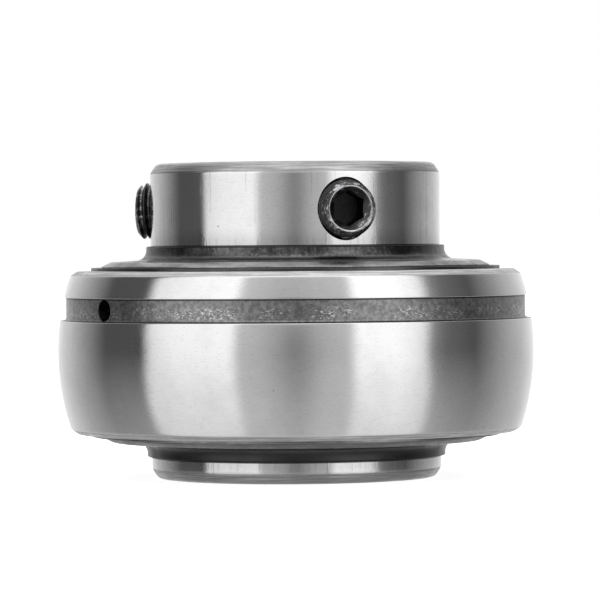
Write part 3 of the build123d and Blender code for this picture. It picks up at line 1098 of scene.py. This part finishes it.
class BEARING_OT_stage(bpy.types.Operator):
    """Sets the pale floor, the soft light of the studio and the camera"""

    bl_idname = "bearing.stage"
    bl_label = "Stage"
    bl_options = {"REGISTER", "UNDO"}

    def execute(self, context):
        studio = context.scene.bearing_studio
        self.floor(context, studio)
        self.light(context, studio)
        self.camera(context, studio)
        context.scene.view_settings.view_transform = "Standard"
        return {"FINISHED"}

    def floor(self, context, studio):
        """A wide pale floor: white to the camera, satin to the metal, and it keeps the shadow."""
        floor_radius = 3.0
        white_glow = 0.85
        metal_glow = 0.4
        metal_share = 0.35
        ground = -context.scene.bearing_rings.short_side
        deselect()
        bpy.ops.mesh.primitive_circle_add(
            vertices=96, radius=floor_radius, fill_type="NGON", location=(0, 0, ground)
        )
        floor = name_active("floor")
        material, tree, shader = new_finish("pale_floor")
        tree.nodes.remove(shader)
        rays = add_node(tree, "LightPath").outputs
        plain = add_node(tree, "BsdfDiffuse", {"Color": tone(studio.floor_white)}).outputs[0]
        glow = add_node(tree, "Emission", {"Color": grey(1), "Strength": white_glow}).outputs[0]
        white = add_node(tree, "AddShader", {0: plain, 1: glow}).outputs[0]
        facing = add_node(tree, "LayerWeight", {"Blend": 0.5}).outputs["Facing"]
        matte = add_node(tree, "AddShader", {
            0: add_node(tree, "BsdfDiffuse", {"Color": tone(studio.floor_white, metal_share)}).outputs[0],
            1: add_node(tree, "Emission", {"Color": grey(1), "Strength": metal_glow}).outputs[0],
        }).outputs[0]
        satin = add_node(tree, "MixShader", {
            0: minus(tree, 1.0, facing),
            1: add_node(tree, "BsdfTransparent").outputs[0],
            2: matte,
        }).outputs[0]
        seen = add_node(tree, "MixShader", {0: rays["Is Glossy Ray"], 1: plain, 2: satin}).outputs[0]
        seen = add_node(tree, "MixShader", {0: rays["Is Camera Ray"], 1: seen, 2: white}).outputs[0]
        tree.links.new(seen, tree.nodes["Material Output"].inputs["Surface"])
        give(floor, material)

    def light(self, context, studio):
        """Softboxes left and right, dark panels past them, a dim front and a white backdrop."""
        gap_sharpness = 60.0
        gap_level = 0.5
        gap_above = 0.1
        overhead_from = math.sin(math.radians(35))
        overhead_to = math.sin(math.radians(80))
        lift = 0.5
        world = bpy.data.worlds.new("studio")
        context.scene.world = world
        world.use_nodes = True
        tree = world.node_tree
        look = add_node(tree, "TexCoord").outputs["Generated"]
        turned = add_node(
            tree, "VectorRotate", {"Vector": look, "Angle": -studio.view_angle}, rotation_type="Z_AXIS"
        ).outputs[0]
        parts = split(tree, turned)
        azimuth = calc(tree, "ARCTAN2", parts["X"], times(tree, parts["Y"], -1.0))
        upward = calc(tree, "MAXIMUM", parts["Z"], 0.0)
        bands = self.bands(tree, studio, azimuth, calc(tree, "ABSOLUTE", parts["Z"]))
        ahead = calc(tree, "MAXIMUM", calc(tree, "COSINE", azimuth), 0.0)
        gap = calc(tree, "POWER", ahead, gap_sharpness)
        gap = times(tree, gap, fade(tree, upward, 0.05, 0.5, gap_level, gap_above))
        bands = blend(tree, gap, bands, grey(0))
        rise = fade(tree, parts["Z"], overhead_from, overhead_to)
        lit = blend(tree, rise, bands, grey(studio.ceiling / RAMP_HEADROOM))
        rays = add_node(tree, "LightPath").outputs
        strength = plus(tree, RAMP_HEADROOM, times(tree, upward, lift))
        seen = add_node(tree, "Background", {"Color": lit, "Strength": strength}).outputs[0]
        backdrop = add_node(tree, "Background", {"Color": grey(1), "Strength": 1.0}).outputs[0]
        mixed = add_node(tree, "MixShader", {0: rays["Is Camera Ray"], 1: seen, 2: backdrop}).outputs[0]
        tree.links.new(mixed, tree.nodes["World Output"].inputs["Surface"])

    def bands(self, tree, studio, azimuth, slope):
        """Bright and dark round the object, whose edges lean and shift above and below the level.

        Angles are in turns from the camera's side. Each shift stands with the angle it holds at.
        """
        lean_rate = 0.125
        left_lean_limit = 0.052
        lean_from = 45 / 360
        lean_full = 66 / 360
        left_shift = (-30 / 360, 1 / 360)
        right_shift = (15 / 360, 3.5 / 360)
        angle = calc(tree, "DIVIDE", azimuth, 2 * math.pi)
        outer = fade(tree, calc(tree, "ABSOLUTE", angle), lean_from, lean_full)
        limit = fade(tree, angle, -0.01, 0.01, left_lean_limit, 1.0)
        lean = calc(tree, "MINIMUM", times(tree, slope, lean_rate), limit)
        lean = minus(tree, 1.0, times(tree, lean, outer))
        shift = fade(tree, angle, left_shift[0], right_shift[0], left_shift[1], right_shift[1])
        around = minus(tree, times(tree, angle, lean), times(tree, slope, shift))
        ramp = add_node(tree, "ValToRGB", {"Fac": plus(tree, around, 0.5)})
        left = studio.left_box
        right = studio.right_box
        dark = studio.dark
        stops = [
            (-180, 1.1), (-140, 0.62), (-116, 0.26), (-104, dark), (-84, dark), (-78.5, 0.06),
            (-73.5, 0.79 * left), (-60, 0.94 * left), (-32, left), (-27, 0.6), (-12, 0.53), (12, 0.55),
            (25, 0.58), (30, right), (50, right), (58, 0.87 * right), (63, 0.74 * right), (68, 0.26),
            (76, 0.15), (95, dark), (112, 0.3), (140, 0.62), (180, 1.1),
        ]
        elements = ramp.color_ramp.elements
        while len(elements) > 1:
            elements.remove(elements[0])
        elements[0].position = 0.0
        for degrees, strength in stops:
            element = elements[0] if degrees == -180 else elements.new(degrees / 360 + 0.5)
            element.color = grey(strength / RAMP_HEADROOM)
        return ramp.outputs["Color"]

    def camera(self, context, studio):
        """A long lens almost level with the collar."""
        toward = Matrix.Rotation(studio.view_angle, 3, "Z")
        place = toward @ Vector((0, -studio.distance, 0)) + Vector((0, 0, studio.eye_height))
        aim = toward @ Vector((studio.aim_side, 0, 0)) + Vector((0, 0, studio.aim_height))
        deselect()
        bpy.ops.object.camera_add(location=place)
        camera = context.object
        look = (aim - place).to_track_quat("-Z", "Y").to_matrix()
        camera.rotation_euler = (look @ Matrix.Rotation(-studio.roll, 3, "Z")).to_euler()
        camera.data.lens = studio.lens
        camera.data.sensor_width = SENSOR_WIDTH
        camera.data.clip_start = 0.01
        camera.data.clip_end = 20.0
        context.scene.camera = camera


class BEARING_PT_build(bpy.types.Panel):
    """Lists the pieces of the bearing"""

    bl_idname = "BEARING_PT_build"
    bl_label = "Insert Bearing"
    bl_space_type = "VIEW_3D"
    bl_region_type = "UI"
    bl_category = "Bearing"

    def draw(self, context):
        for operator in OPERATORS:
            self.layout.operator(operator.bl_idname)


GROUPS = {
    "bearing_rings": BearingRings,
    "bearing_sheets": BearingSheets,
    "bearing_screws": BearingScrews,
    "bearing_finish": BearingFinish,
    "bearing_studio": BearingStudio,
}
OPERATORS = (
    BEARING_OT_outer_ring,
    BEARING_OT_inner_ring,
    BEARING_OT_flingers,
    BEARING_OT_shrouds,
    BEARING_OT_set_screws,
    BEARING_OT_inside,
    BEARING_OT_stage,
)


def register():
    """Adds the classes, and the settings that they keep with the scene."""
    for name, group in GROUPS.items():
        bpy.utils.register_class(group)
        setattr(bpy.types.Scene, name, bpy.props.PointerProperty(type=group))
    for operator in OPERATORS:
        bpy.utils.register_class(operator)
    bpy.utils.register_class(BEARING_PT_build)


def unregister():
    """Takes the classes and their settings away again."""
    bpy.utils.unregister_class(BEARING_PT_build)
    for operator in reversed(OPERATORS):
        bpy.utils.unregister_class(operator)
    for name, group in reversed(GROUPS.items()):
        delattr(bpy.types.Scene, name)
        bpy.utils.unregister_class(group)


def main():
    """Builds every piece and the stage."""
    register()
    bpy.ops.bearing.outer_ring()
    bpy.ops.bearing.inner_ring()
    bpy.ops.bearing.flingers()
    bpy.ops.bearing.shrouds()
    bpy.ops.bearing.set_screws()
    bpy.ops.bearing.inside()
    bpy.ops.bearing.stage()


if __name__ == "__main__":
    main()
